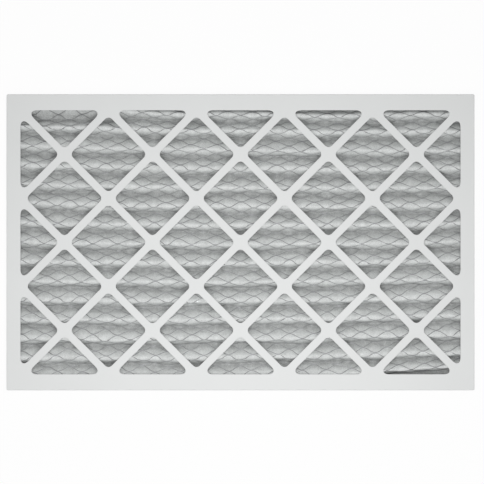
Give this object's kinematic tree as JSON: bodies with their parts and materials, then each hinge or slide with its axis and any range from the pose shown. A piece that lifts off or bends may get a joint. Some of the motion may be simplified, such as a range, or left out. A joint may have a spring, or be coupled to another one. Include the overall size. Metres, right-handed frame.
{
  "type": "pleated paper air filter",
  "caption": "Flat pleated air filter: folded filter paper and a metal support mesh, held between two nested board trays with diamond lattice faces.",
  "frame": {"origin": "centre of the back face, on the surface that the filter lies on", "axes": "+X along the long side, +Y along the short side (up in the picture), +Z out of the face with the mesh"},
  "size_m": [0.6224, 0.3938, 0.0191],
  "materials": {
    "white_board": "white clay-coated paperboard, satin, with slightly grey cut edges",
    "filter_paper": "soft matt grey-white fibre sheet, a little uneven in tone",
    "expanded_metal": "thin galvanised strands, dull grey"
  },
  "bodies": {
    "root": {"front_frame": "white_board", "back_frame": "white_board", "pleated_media": "filter_paper", "support_mesh": "expanded_metal"}
  },
  "joints": []
}
